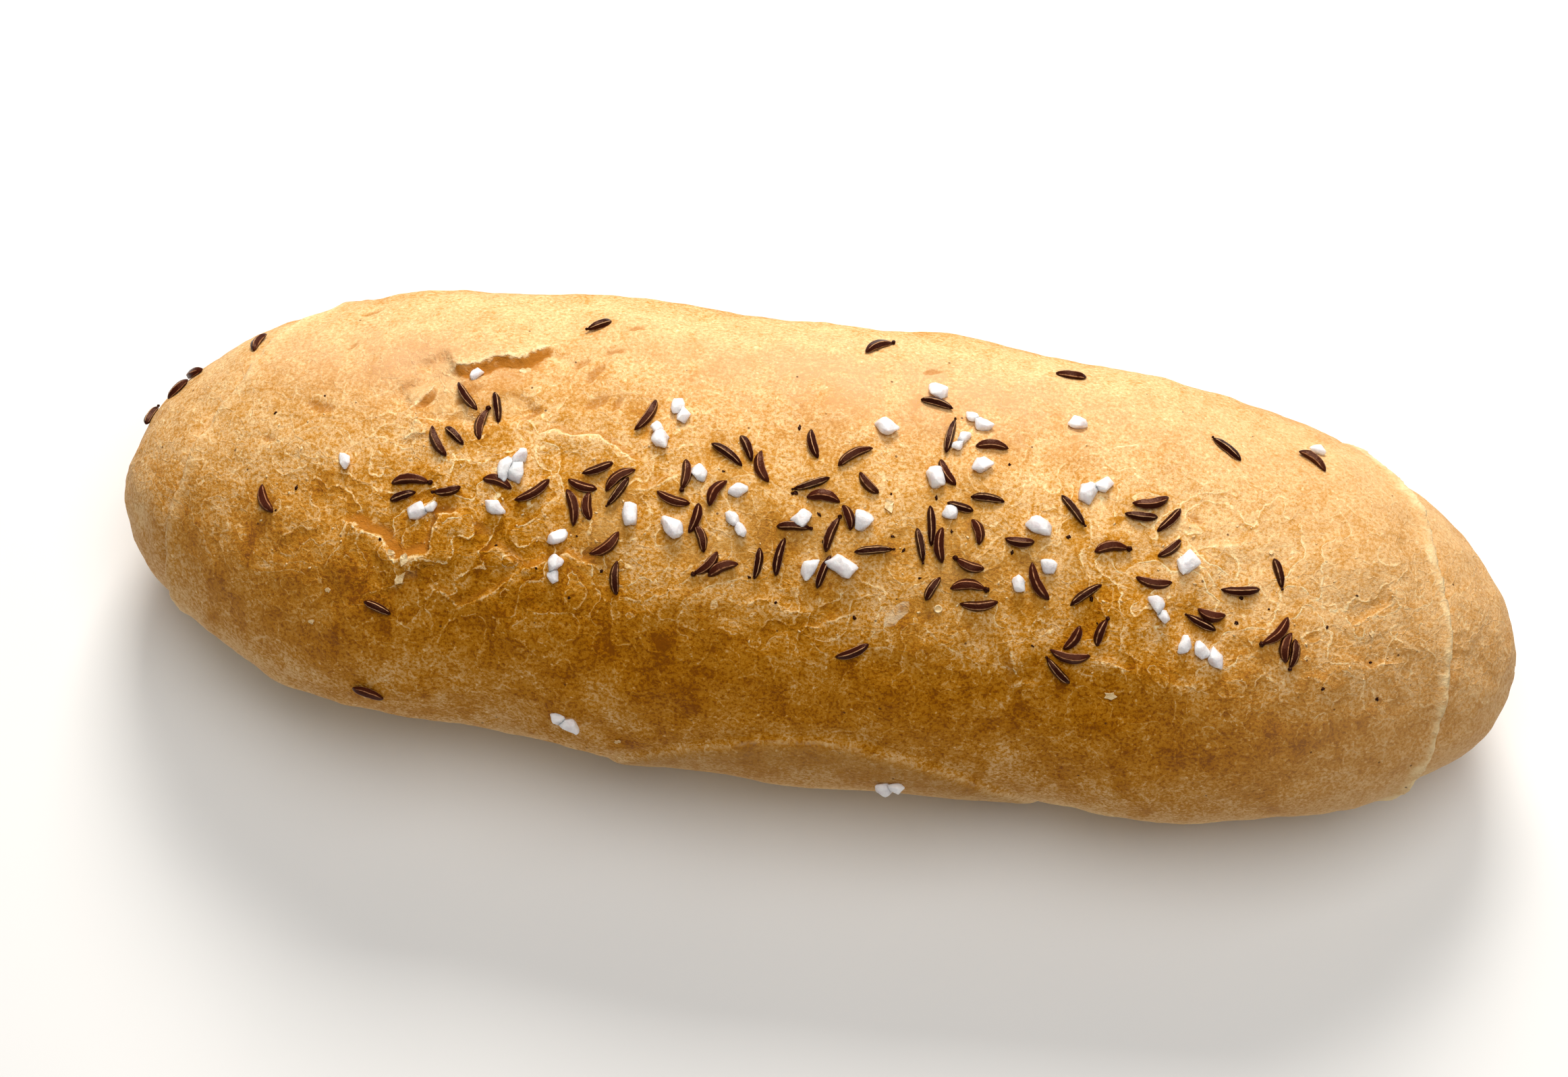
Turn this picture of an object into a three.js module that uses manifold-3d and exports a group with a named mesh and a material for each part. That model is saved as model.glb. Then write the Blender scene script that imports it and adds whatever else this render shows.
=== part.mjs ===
// A long bread roll, rolled up from one strip of dough and baked with caraway and coarse salt on top.
// Millimetres, +Z up. The roll lies along X on its flat underside, the origin is the middle of that
// underside, and the side with the tucked-in dough tongue faces -Y.
import * as THREE from 'three';
import { mergeVertices } from 'three/addons/utils/BufferGeometryUtils.js';
import Module from 'manifold-3d';

const wasm = await Module();
wasm.setup();

// Driving dimensions, in millimetres and degrees.
const roll = {
  length: 190,
  width: 61,
  crown: 26, // crest above the widest level
  belly: 24, // full roundness below the widest level, before the underside is flattened
  widestLevel: 20, // height of the widest level above the underside
  planPower: 3.4, // how blunt the ends are, seen from above
  sidePower: 2.9, // how blunt the ends are, seen from the side
  bow: 1.8, // how far the ends lean towards the front
  droop: 4, // how far the tips have sunk below the widest level
  around: 36,
  along: 42,
};

// The outer turn of dough ends short of both tips, in planes that lean as the dough was wound.
const outerTurn = {
  thickness: 0.8,
  right: { reach: 79.5, leanUp: 0.487, leanBack: -0.3 },
  left: { reach: 81, leanUp: 0.42, leanBack: -0.1 },
};

// The tongue of dough that was tucked under the front, with a rounded upper edge.
const tongue = { x: 4, level: 4, halfLength: 30, rise: 25, thickness: 1.5 };

// Places where the thin skin has flaked away: x, turn from the crest, size, and how ragged.
const flakedSkin = [
  { x: -47, turn: -14, halfLength: 8.2, halfWidth: 5.6, ragged: 0.26, depth: 0.65 },
  { x: -40, turn: -24, halfLength: 5.2, halfWidth: 2.2, ragged: 0.3, depth: 0.5 },
  { x: -52, turn: 32, halfLength: 3.6, halfWidth: 4.6, ragged: 0.3, depth: 0.5 },
];

// Unevenness of the risen dough: height, waves along and around, and where each wave starts.
const swells = [
  { height: 0.26, perLength: 3, perTurn: 1, start: 1.0 },
  { height: 0.22, perLength: 5, perTurn: 2, start: 2.6 },
  { height: 0.18, perLength: 8, perTurn: -3, start: 0.4 },
];

// Where one side bulges out, or is drawn in: x, turn from the crest, height, and spread along.
const bulges = [
  { x: -84, turn: -80, height: 1.8, spread: 13 },
  { x: -62, turn: 80, height: 1.9, spread: 17 },
  { x: 0, turn: 80, height: 0.5, spread: 20 },
  { x: 32, turn: 80, height: -1.2, spread: 20 },
  { x: -90, turn: 80, height: -0.8, spread: 12 },
  { x: 88, turn: 80, height: -0.7, spread: 12 },
];
const bulgeRound = 45; // how far round the roll each bulge spreads

// What is sprinkled on: x, turn from the crest towards the front, caraway, salt, reach.
const clusters = [
  [-45, -13, 2, 1, 3.5], [-44, -4, 1, 0, 0.8], [-47.5, 3, 2, 0, 2], [-61, 8, 0, 1, 0],
  [-50, 14, 3, 1, 3.2], [-39, 5, 0, 2, 1.5], [-39, 12, 2, 1, 3.4], [-27, 11, 6, 1, 4.8],
  [-31, 24, 0, 2, 2.4], [-24, 26, 2, 0, 2.6], [-21, -10, 1, 2, 2.6], [-14, 10, 5, 4, 4.6],
  [-12, 23, 2, 0, 1.6], [-5.5, 21, 2, 0, 2], [-9.5, 0, 3, 0, 3.4], [1, -3, 3, 0, 3.8],
  [2.6, 10, 6, 4, 6.2], [2, 22, 1, 0, 0], [7, 40.5, 1, 0, 0], [12.5, -27, 1, 1, 2],
  [7, -15, 0, 1, 0], [18, -15, 2, 3, 3.6], [18, 0, 4, 2, 4.8], [17, 15, 6, 0, 4.4],
  [28, 11, 2, 3, 3.9], [22, 24.5, 1, 0, 0], [32.5, -4, 1, 1, 2], [31.5, -27, 0, 1, 0],
  [43, -4, 3, 0, 2.2], [37.5, 6, 1, 0, 0], [46.5, 4, 1, 1, 1.8], [43.5, 15, 1, 1, 2],
  [36, 24, 3, 0, 3.2], [34, 36, 2, 0, 2], [57, 8, 2, 0, 3.4], [51, 24, 2, 2, 3.2],
  [60.5, 24, 3, 0, 2.6],
];
const strays = [
  [-90, -52, 3, 0, 4], [-78, -45, 1, 0, 0], [-71, 21, 1, 0, 0], [-54, 46, 1, 0, 0],
  [-55, 76, 1, 0, 0], [-28, 76, 0, 1, 0], [-32, -40, 1, 0, 0], [4.5, -45, 1, 0, 0],
  [30, -47, 1, 0, 0], [51, -30, 1, 0, 0], [62, -41, 1, 1, 2], [13, 88, 0, 1, 0],
];
const caraway = { shortest: 3.4, longest: 5.4, width: 1.36, thickness: 1.15, bend: 0.12, sunk: 0.3 };
const salt = { smallest: 2.1, largest: 3.4, flatness: 0.72, uneven: 0.16, sunk: 0.28 };
const sprinkleStart = 4711; // first number of each run of draws
const flakeStart = 907;
const saltStart = 31;
const triesEach = 12; // places tried for each grain, of which the clearest is kept
const meanRadius = 28; // of the crust under the sprinkled part, for distances round it

const crustColour = 0xc98f4a;

// A run of draws that is the same every time.
function drawsFrom(start) {
  const prime = 2147483647;
  let drawn = start;
  return (low = 0, high = 1) => {
    drawn = (drawn * 16807) % prime;
    return low + (high - low) * (drawn / prime);
  };
}

const radians = THREE.MathUtils.degToRad;
const taper = (share, power) => Math.sqrt(Math.max(0, 1 - Math.abs(share) ** power));

function swellAt(share, turn) {
  let height = 0;
  for (const s of swells)
    height += s.height * Math.sin(s.perLength * share * Math.PI + s.perTurn * turn + s.start);
  for (const b of bulges) {
    const along = ((share * roll.length) / 2 - b.x) / b.spread;
    const apart = turn - radians(b.turn);
    const around = Math.atan2(Math.sin(apart), Math.cos(apart)) / radians(bulgeRound);
    height += b.height * Math.exp(-along * along - around * around);
  }
  return height;
}

// A point of the roll's surface: share is -1 to 1 along the roll, turn is round it from the crest
// towards the front in radians, and raise is how far outside the core it lies.
function surfacePoint(share, turn, raise) {
  const swell = raise + swellAt(share, turn);
  const across = (roll.width / 2 + swell) * taper(share, roll.planPower);
  const rise = (turn > -Math.PI / 2 && turn < Math.PI / 2 ? roll.crown : roll.belly) + swell;
  const bow = roll.bow * (1 / 3 - share * share);
  return new THREE.Vector3(
    share * (roll.length / 2 + raise),
    bow - across * Math.sin(turn),
    roll.widestLevel - roll.droop * share ** 4 + rise * Math.cos(turn) * taper(share, roll.sidePower),
  );
}

const pastSeam = (p, side, seam) =>
  side * p.x > seam.reach + seam.leanUp * (p.z - roll.widestLevel) + seam.leanBack * p.y;
const inTongue = (p) =>
  p.y < 0 && ((p.x - tongue.x) / tongue.halfLength) ** 2 + ((p.z - tongue.level) / tongue.rise) ** 2 < 1;

// How far outside the core the crust lies at a place.
function raiseAt(share, turn) {
  const core = surfacePoint(share, turn, 0);
  if (pastSeam(core, 1, outerTurn.right) || pastSeam(core, -1, outerTurn.left)) return 0;
  if (inTongue(core)) return tongue.thickness;
  for (const place of flakedSkin) {
    const along = ((share * roll.length) / 2 - place.x) / place.halfLength;
    const around = ((turn - radians(place.turn)) * meanRadius) / place.halfWidth;
    if (Math.hypot(along, around) < 1) return outerTurn.thickness - place.depth;
  }
  return outerTurn.thickness;
}

// Directions on the surface at a place: along the roll, round it to the back, and straight out.
function directionsAt(share, turn) {
  const step = 0.004;
  const raise = raiseAt(share, turn);
  const here = surfacePoint(share, turn, raise);
  const ahead = surfacePoint(share + step, turn, raise).sub(here);
  const frontward = surfacePoint(share, turn + step, raise).sub(here);
  const out = frontward.cross(ahead).normalize();
  const along = ahead.normalize();
  return { here, along, back: out.clone().cross(along), out };
}

// Geometry and solids go back and forth between three.js and the boolean library.
function solidOf(geometry) {
  const bare = geometry.index ? geometry.clone() : geometry;
  bare.deleteAttribute('normal');
  bare.deleteAttribute('uv');
  const merged = mergeVertices(bare, 1e-4);
  return new wasm.Manifold(
    new wasm.Mesh({
      numProp: 3,
      vertProperties: new Float32Array(merged.attributes.position.array),
      triVerts: new Uint32Array(merged.index.array),
    }),
  );
}

function geometryOf(solid) {
  const mesh = solid.getMesh();
  return new THREE.BufferGeometry()
    .setAttribute('position', new THREE.BufferAttribute(mesh.vertProperties, 3))
    .setIndex(new THREE.BufferAttribute(mesh.triVerts, 1));
}

function moveVertices(geometry, move) {
  const position = geometry.attributes.position;
  const point = new THREE.Vector3();
  for (let i = 0; i < position.count; i++) {
    const moved = move(point.fromBufferAttribute(position, i));
    position.setXYZ(i, moved.x, moved.y, moved.z);
  }
  return geometry;
}

// The whole risen form, from a ball whose poles are the roll's tips.
function doughBody(raise) {
  const ball = new THREE.SphereGeometry(1, roll.around, roll.along).rotateZ(-Math.PI / 2);
  const formed = moveVertices(ball, (p) =>
    surfacePoint(Math.max(-1, Math.min(1, p.x)), Math.atan2(-p.y, p.z), raise),
  );
  return solidOf(formed);
}

// A big block beyond one end, whose inner face is the leaning plane that the seam follows.
function beyondSeam(side, seam) {
  const size = roll.length;
  const block = new THREE.BoxGeometry(size, size, size).translate((side * size) / 2, 0, 0);
  const reachAtTable = seam.reach - seam.leanUp * roll.widestLevel;
  const lean = new THREE.Matrix4().set(
    1, side * seam.leanBack, side * seam.leanUp, side * reachAtTable,
    0, 1, 0, 0,
    0, 0, 1, 0,
    0, 0, 0, 1,
  );
  return solidOf(block.applyMatrix4(lean));
}

function outerDough() {
  return doughBody(outerTurn.thickness)
    .subtract(beyondSeam(1, outerTurn.right))
    .subtract(beyondSeam(-1, outerTurn.left));
}

// The tongue is the part of a slightly larger body that lies inside an oval seen from the front.
function doughTongue() {
  const oval = new THREE.CylinderGeometry(1, 1, roll.width, 40)
    .scale(tongue.halfLength, 1, tongue.rise)
    .translate(tongue.x, -roll.width / 2 - roll.width / 6, tongue.level);
  return doughBody(tongue.thickness).intersect(solidOf(oval));
}

// A shallow pit with a ragged outline, where the skin came off.
function flakePit(place, draw) {
  const corners = 18;
  const outline = new THREE.Shape();
  for (let i = 0; i < corners; i++) {
    const angle = (i / corners) * 2 * Math.PI;
    const reach = 1 + place.ragged * draw(-1, 1);
    const x = place.halfLength * reach * Math.cos(angle);
    const y = place.halfWidth * reach * Math.sin(angle);
    if (i === 0) outline.moveTo(x, y);
    else outline.lineTo(x, y);
  }
  outline.closePath();
  const height = 12;
  const prism = new THREE.ExtrudeGeometry(outline, { depth: height, bevelEnabled: false });
  prism.translate(0, 0, -height / 2).applyMatrix4(placement(place, 0, 0));
  return solidOf(prism).subtract(doughBody(outerTurn.thickness - place.depth));
}

// The matrix that stands a small piece on the crust, turned by heading and lifted off it.
function placement(place, heading, lift) {
  const { here, along, back, out } = directionsAt(place.x / (roll.length / 2), radians(place.turn));
  return new THREE.Matrix4()
    .makeBasis(along, back, out)
    .setPosition(here.addScaledVector(out, lift))
    .multiply(new THREE.Matrix4().makeRotationZ(heading));
}

// How far a grain would lie from those already down, each being a few points on the unrolled crust.
function clearance(points, placed) {
  let least = Infinity;
  for (const [px, py] of points)
    for (const [qx, qy] of placed) least = Math.min(least, Math.hypot(px - qx, py - qy));
  return least;
}

function pointsOf(x, arc, heading, halfLength) {
  return [-0.8, 0, 0.8].map((part) => [
    x + part * halfLength * Math.cos(heading),
    arc - part * halfLength * Math.sin(heading),
  ]);
}

// Where every grain lies, the salt of each cluster before its caraway.
function sprinkle() {
  const draw = drawsFrom(sprinkleStart);
  const placed = [];
  const grains = [];
  for (const [x, turn, caraways, salts, reach] of [...clusters, ...strays]) {
    for (let i = 0; i < salts + caraways; i++) {
      const kind = i < salts ? 'salt' : 'caraway';
      const size =
        kind === 'salt' ? draw(salt.smallest, salt.largest) : draw(caraway.shortest, caraway.longest);
      const halfLength = kind === 'salt' ? 0.3 * size : size / 2;
      let best = null;
      for (let t = 0; t < triesEach; t++) {
        const angle = draw(0, 2 * Math.PI);
        const away = reach * Math.sqrt(draw());
        const heading = draw(0, 2 * Math.PI);
        const gx = x + away * Math.cos(angle);
        const arc = radians(turn) * meanRadius + away * Math.sin(angle);
        const points = pointsOf(gx, arc, heading, halfLength);
        const clear = clearance(points, placed);
        if (!best || clear > best.clear) best = { clear, points, x: gx, arc, heading };
      }
      placed.push(...best.points);
      const turnDegrees = THREE.MathUtils.radToDeg(best.arc / meanRadius);
      grains.push({ kind, size, x: best.x, turn: turnDegrees, heading: best.heading, vary: draw() });
    }
  }
  return grains;
}

// A caraway seed: a spindle, flattened and bent like a new moon.
function carawaySeed(grain) {
  const half = grain.size / 2;
  const stretch = 0.85 + 0.3 * grain.vary;
  const bend = caraway.bend * grain.size * (0.2 + grain.vary);
  const seed = new THREE.SphereGeometry(1, 5, 4).rotateZ(Math.PI / 2);
  moveVertices(seed, (p) =>
    p.set(
      p.x * half,
      (p.y * caraway.width * stretch) / 2 + bend * (0.5 - p.x * p.x),
      (p.z * caraway.thickness) / 2,
    ),
  );
  const lift = caraway.thickness * (0.5 - caraway.sunk);
  return solidOf(seed.applyMatrix4(placement(grain, grain.heading, lift)));
}

// A grain of coarse salt: a lump with uneven corners.
function saltGrain(grain, draw) {
  const lump = new THREE.IcosahedronGeometry(grain.size / 2, 0);
  lump.deleteAttribute('normal');
  lump.deleteAttribute('uv');
  const joined = mergeVertices(lump, 1e-4);
  moveVertices(joined, (p) => p.multiplyScalar(1 + salt.uneven * draw(-1, 1)));
  joined.scale(1.05 + 0.2 * grain.vary, 0.95, salt.flatness);
  const lift = grain.size * salt.flatness * (0.5 - salt.sunk);
  return solidOf(joined.applyMatrix4(placement(grain, grain.heading, lift)));
}

function belowTable() {
  const size = roll.length * 2;
  return solidOf(new THREE.BoxGeometry(size, size, size).translate(0, 0, -size / 2));
}

function breadRoll() {
  const drawSalt = drawsFrom(saltStart);
  const drawFlake = drawsFrom(flakeStart);
  const grains = sprinkle().map((g) => (g.kind === 'salt' ? saltGrain(g, drawSalt) : carawaySeed(g)));
  let dough = doughBody(0).add(outerDough()).add(doughTongue());
  for (const place of flakedSkin) dough = dough.subtract(flakePit(place, drawFlake));
  const whole = wasm.Manifold.union([dough, ...grains]).subtract(belowTable());
  const mesh = new THREE.Mesh(
    geometryOf(whole),
    new THREE.MeshStandardMaterial({ color: crustColour, roughness: 0.72, metalness: 0 }),
  );
  mesh.name = 'roll';
  return mesh;
}

const group = new THREE.Group();
group.add(breadRoll());

export default group;
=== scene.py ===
import math

import bmesh
import bpy
from mathutils import Matrix, Vector, noise
from mathutils.bvhtree import BVHTree
from mathutils.kdtree import KDTree


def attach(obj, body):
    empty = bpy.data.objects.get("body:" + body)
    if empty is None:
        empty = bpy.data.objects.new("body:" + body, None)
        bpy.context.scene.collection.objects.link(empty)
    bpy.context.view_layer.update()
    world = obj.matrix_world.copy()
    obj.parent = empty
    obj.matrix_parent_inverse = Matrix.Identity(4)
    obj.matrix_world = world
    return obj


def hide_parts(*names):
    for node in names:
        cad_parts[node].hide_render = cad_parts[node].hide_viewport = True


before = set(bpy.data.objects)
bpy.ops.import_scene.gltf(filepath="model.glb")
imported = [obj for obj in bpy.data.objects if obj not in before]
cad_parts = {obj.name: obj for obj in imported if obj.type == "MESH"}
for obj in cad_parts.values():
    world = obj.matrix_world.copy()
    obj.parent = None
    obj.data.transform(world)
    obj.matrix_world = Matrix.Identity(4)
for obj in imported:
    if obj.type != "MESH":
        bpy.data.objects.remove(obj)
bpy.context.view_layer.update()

# A long bread roll with caraway and coarse salt, lying on its flat underside.
# Sizes are millimetres and degrees, and each finished mesh is scaled to metres.

mm = 0.001
roll = dict(
    length=190, width=61,
    crown=26, belly=24,          # roundness above and below the widest level
    widestLevel=20, droop=4,     # the tips sink below the widest level
    planPower=3.4, sidePower=2.9,  # how blunt the ends are
    bow=1.8,                     # the ends lean to the front
    swells=[(0.26, 3, 1, 1.0), (0.22, 5, 2, 2.6), (0.18, 8, -3, 0.4)],  # height, waves along, around, start
    bulges=[(-84, -80, 1.8, 13), (-62, 80, 1.9, 17), (0, 80, 0.5, 20),
            (32, 80, -1.2, 20), (-90, 80, -0.8, 12), (88, 80, -0.7, 12)],  # x, turn, height, spread
    bulgeRound=45,
    meanRadius=28,
)


def taper(share, power):
    return math.sqrt(max(0.0, 1 - abs(share) ** power))


def swellAt(share, turn):
    height = 0.0
    for size, perLength, perTurn, start in roll["swells"]:
        height += size * math.sin(perLength * share * math.pi + perTurn * turn + start)
    for x, centre, size, spread in roll["bulges"]:
        along = (share * roll["length"] / 2 - x) / spread
        apart = turn - math.radians(centre)
        around = math.atan2(math.sin(apart), math.cos(apart)) / math.radians(roll["bulgeRound"])
        height += size * math.exp(-along * along - around * around)
    return height


def surfacePoint(share, turn, lift, swell=None):
    # share runs from tip to tip, turn from the crest to the front, lift is the height above the core
    swell = lift + (swellAt(share, turn) if swell is None else swell)
    across = (roll["width"] / 2 + swell) * taper(share, roll["planPower"])
    rise = (roll["crown"] if abs(turn) < math.pi / 2 else roll["belly"]) + swell
    level = roll["widestLevel"] - roll["droop"] * share ** 4
    return Vector((
        share * (roll["length"] / 2 + lift),
        roll["bow"] * (1 / 3 - share * share) - across * math.sin(turn),
        level + rise * math.cos(turn) * taper(share, roll["sidePower"]),
    ))


def smooth(low, high, value):
    part = min(1.0, max(0.0, (value - low) / (high - low)))
    return part * part * (3 - 2 * part)


def hump(value, centre, spread):
    return math.exp(-((value - centre) / spread) ** 2)


tilt = Matrix.Rotation(0.9, 3, Vector((1, 2, -1.5)))  # so that the noise doesn't line up with the roll


def rough(point, size, octaves=1, shift=0.0):
    # noise whose lumps are about size across, between -1 and 1
    place = tilt @ point / size + Vector((shift, -shift, 2 * shift))
    if octaves == 1:
        return noise.noise(place, noise_basis="PERLIN_NEW")
    return noise.fractal(place, 0.9, 2.1, octaves, noise_basis="PERLIN_NEW")


# How the dough was wound, and where its skin has lifted or come off.
winding = dict(
    thickness=0.8,
    right=dict(side=1, reach=75.8, leanUp=0.48, leanBack=-0.34, step=0.95, lip=0.6, groove=0.45),
    left=dict(side=-1, reach=77.5, leanUp=0.325, leanBack=-0.45, step=0.5, lip=0.4, groove=0.5),
    tongue=dict(x=4, level=4, halfLength=30, rise=25, thickness=1.5),
)
flaked = [
    dict(x=-47, turn=-14, halfLength=8.2, halfWidth=5.6, depth=0.65, bare=0.4),
    dict(x=-40, turn=-24, halfLength=5.2, halfWidth=2.2, depth=0.5, bare=1.0),
    dict(x=-52, turn=32, halfLength=3.6, halfWidth=4.6, depth=0.5, bare=0.15),
]
flakeCorners = dict(count=18, start=907, ragged=[0.26, 0.3, 0.3])
# torn edges of the skin, each with its height and its x and turn along the edge; the raised side lies
# on the left hand of whoever walks along it, seen from above with the front of the roll nearest
torn = [
    (1.0, (-50, -17), (-45, -22), (-40, -24), (-37, -30)), (0.7, (-54, -4), (-51, -16)),
    (0.4, (-55, 2), (-51, 0), (-51, -3), (-55, -6)), (0.5, (-23, 3), (-26, -2), (-30, -5), (-38, -4)),
    (0.35, (-33, 6), (-37, 8)), (0.4, (-17, 2), (-24, 8)),
    (0.8, (-44, 18), (-48, 20), (-48, 29), (-52, 32), (-55, 26), (-61, 23)),
    (0.5, (-25, 27), (-30, 26), (-36, 30), (-40, 26), (-43, 26)),
    (0.4, (-36, 30), (-39, 37), (-44, 43), (-48, 36)), (0.25, (2, 32), (-2, 31), (-7, 30), (-8, 35)),
    (0.35, (7, 30), (4, 34), (-1, 37)), (0.45, (26, 33), (27, 42), (27, 48)), (0.35, (31, 42), (27, 43)),
    (0.2, (25, 26), (17, 26)), (0.25, (56, -10), (55, -4), (49, 2), (45, -2)),
    (0.25, (61, 16), (58, 8), (55, 5)), (0.3, (72, -3), (74, 4), (70, 12), (67, 8)),
    (0.3, (77, 20), (73, 25), (68, 21)), (0.25, (69, 32), (63, 28)), (0.35, (43, 34), (36, 34)),
    (0.25, (53, 36), (45, 36)), (0.3, (41, -26), (36, -22), (30, -24)),
]
scars = [  # x, turn, heading, half length of slanted dents
    (-33, -25, -50, 1.3), (-31, -22.5, -60, 1.7), (-29, -30, -15, 1.2), (-30, -14, -40, 1.8),
    (-27.5, -14, -70, 1.3), (-38, -8, -35, 1.6), (-42, 22, 35, 1.6), (-47, -12, -35, 2.2),
    (-27, -40, -30, 1.2), (-63, -49, -20, 1.5), (-64, -31, -60, 1.0), (-66, -8, 20, 2.0),
    (-72, 2, 20, 1.0), (48, -6, 20, 1.2), (12, -38, -20, 1.4), (81, -18, 60, 0.8),
]
relief = dict(
    dent=0.48, dentSize=20,
    wave=0.34, waveSize=7,
    layerSize=14, layers=3.2, layerStep=0.2,
    lobes=[(4.4, 0.9), (1.8, 0.38)],  # size and strength of the lobes in the layers' edges
    blister=0.07, blisterSize=2.4,
    grain=0.03, grainSize=1.0,
    scarAndShade=0.28, scarWidth=0.38,   # depth, and width as a share of the length
    tornReach=3.2, tornHollow=0.6,
    highTorn=0.7,                # above this height the skin still stands behind a torn edge
    baseEdge=1.0,                # rounds the edge of the underside
)


def drawsFrom(start):
    state = [start]

    def draw(low=0.0, high=1.0):
        state[0] = (state[0] * 16807) % 2147483647
        return low + (high - low) * (state[0] / 2147483647)
    return draw


def flakeOutlines():
    draw = drawsFrom(flakeCorners["start"])
    return [[1 + ragged * draw(-1, 1) for _ in range(flakeCorners["count"])]
            for ragged in flakeCorners["ragged"]]


outlines = flakeOutlines()


def flakeGap(x, arc, point):
    # distance in millimetres to the edge of the nearest flaked place, less than nothing inside it
    nearest, depth, bare = 99.0, 0.0, 0.0
    for place, outline in zip(flaked, outlines):
        along = x - place["x"]
        around = arc - math.radians(place["turn"]) * roll["meanRadius"]
        if abs(along) > 14 or abs(around) > 12:
            continue
        angle = math.atan2(-around / place["halfWidth"], along / place["halfLength"])
        spot = (angle / (2 * math.pi)) % 1 * len(outline)
        low = int(spot) % len(outline)
        part = spot - int(spot)
        reach = outline[low] * (1 - part) + outline[(low + 1) % len(outline)] * part
        reach += 0.1 * rough(point, 1.6)
        size = (place["halfLength"] + place["halfWidth"]) / 2
        gap = (math.hypot(along / place["halfLength"], around / place["halfWidth"]) - reach) * size
        if gap < nearest:
            nearest, depth, bare = gap, place["depth"], place["bare"]
    return nearest, depth, bare


def seamGap(seam, point):
    wobble = 0.8 * rough(point, 9, 1, 3.0) + 0.4 * rough(point, 2.6, 2, 5.0)
    wobble += 3.5 * rough(point, 15, 1, 19.0) * smooth(6, 20, point.y)
    plane = seam["reach"] + seam["leanUp"] * (point.z - roll["widestLevel"]) + seam["leanBack"] * point.y
    slope = math.sqrt(1 + seam["leanUp"] ** 2 + seam["leanBack"] ** 2)
    return (seam["side"] * point.x - plane) / slope + wobble


def tongueGap(point):
    tongue = winding["tongue"]
    if point.y > 0:
        return 99.0
    reach = math.hypot((point.x - tongue["x"]) / tongue["halfLength"],
                       (point.z - tongue["level"]) / tongue["rise"])
    return (reach - 1) * tongue["rise"] + 0.5 * rough(point, 7, 1, 8.0) + 0.15 * rough(point, 2, 1, 9.0)


def besideTorn(x, arc, point):
    # how far it is to the nearest torn edge, more than nothing on its raised side, and its height there
    x += 1.0 * rough(point, 3.6, 1, 11.0) + 0.4 * rough(point, 1.1, 1, 12.0)
    arc += 1.0 * rough(point, 3.6, 1, 14.0) + 0.4 * rough(point, 1.1, 1, 15.0)
    nearest, height = 9.0, 0.0
    for edge, box in zip(torn, tornBoxes):
        if not (box[0] < x < box[1] and box[2] < arc < box[3]):
            continue
        places = edge[1:]
        for i in range(len(places) - 1):
            startX, startArc = places[i][0], math.radians(places[i][1]) * roll["meanRadius"]
            alongX = places[i + 1][0] - startX
            alongArc = math.radians(places[i + 1][1]) * roll["meanRadius"] - startArc
            length = math.hypot(alongX, alongArc)
            alongX, alongArc = alongX / length, alongArc / length
            reach = (x - startX) * alongX + (arc - startArc) * alongArc
            side = (x - startX) * alongArc - (arc - startArc) * alongX
            held = min(length, max(0.0, reach))
            away = math.hypot(x - startX - held * alongX, arc - startArc - held * alongArc)
            atEnd = 9.0
            if i == 0:
                atEnd = reach
            if i == len(places) - 2:
                atEnd = min(atEnd, length - reach)
            if away < abs(nearest):
                nearest, height = math.copysign(away, side), edge[0] * smooth(-0.4, 2.6, atEnd)
    return nearest, height


def boxAround(edge):
    xs = [place[0] for place in edge[1:]]
    arcs = [math.radians(place[1]) * roll["meanRadius"] for place in edge[1:]]
    return min(xs) - 5, max(xs) + 5, min(arcs) - 5, max(arcs) + 5


tornBoxes = [boxAround(edge) for edge in torn]


def scarAt(x, arc, point):
    deepest = 0.0
    for scarX, turn, heading, halfLength in scars:
        along, around = x - scarX, arc - math.radians(turn) * roll["meanRadius"]
        if abs(along) > 4 or abs(around) > 4:
            continue
        c, s = math.cos(math.radians(heading)), math.sin(math.radians(heading))
        reach = math.hypot((along * c + around * s) / halfLength,
                           (along * s - around * c) / (relief["scarWidth"] * halfLength))
        deepest = max(deepest, smooth(1.35, 0.75, reach + 0.35 * rough(point, 1.2, 1, 16.0)))
    return deepest


def layerAt(point):
    # rises by one with each thin layer of skin
    layer = relief["layers"] * rough(point, relief["layerSize"], 3, 1.0)
    for size, strength in relief["lobes"]:
        layer -= strength * noise.voronoi(tilt @ point / size)[0][0]
    return layer


def layerSlope(point, turn, layer):
    # how fast the layers rise for each millimetre along the crust
    step = 0.6
    ahead = layerAt(point + Vector((step, 0, 0))) - layer
    around = layerAt(point - Vector((0, math.cos(turn), math.sin(turn))) * step) - layer
    return min(1.6, max(0.12, math.hypot(ahead, around) / step))


def seamLift(seam, gap, point):
    # a step down, with a lip before it and a groove after it
    lift = seam["lip"] * hump(gap, -0.7, 0.9) * (1 + 0.8 * rough(point, 3, 1, 2.0))
    lift -= seam["step"] * smooth(-0.2, 0.6, gap)
    return lift - seam["groove"] * hump(gap, 0.7, 1.0) * (1 + 0.7 * rough(point, 5, 1, 21.0))


def tornLift(tear, height):
    # a torn edge stands up on one side, with a hollow on the other
    if tear > 0:
        return height * math.exp(-tear / relief["tornReach"]) * smooth(0, 0.5, tear)
    return -relief["tornHollow"] * height * math.exp(tear / (1.8 * height + 0.4))


def layerLift(layer, slope):
    whole = math.floor(layer)
    return relief["layerStep"] * (whole + smooth(0.7, 0.0, (whole + 1 - layer) / slope))


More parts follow.
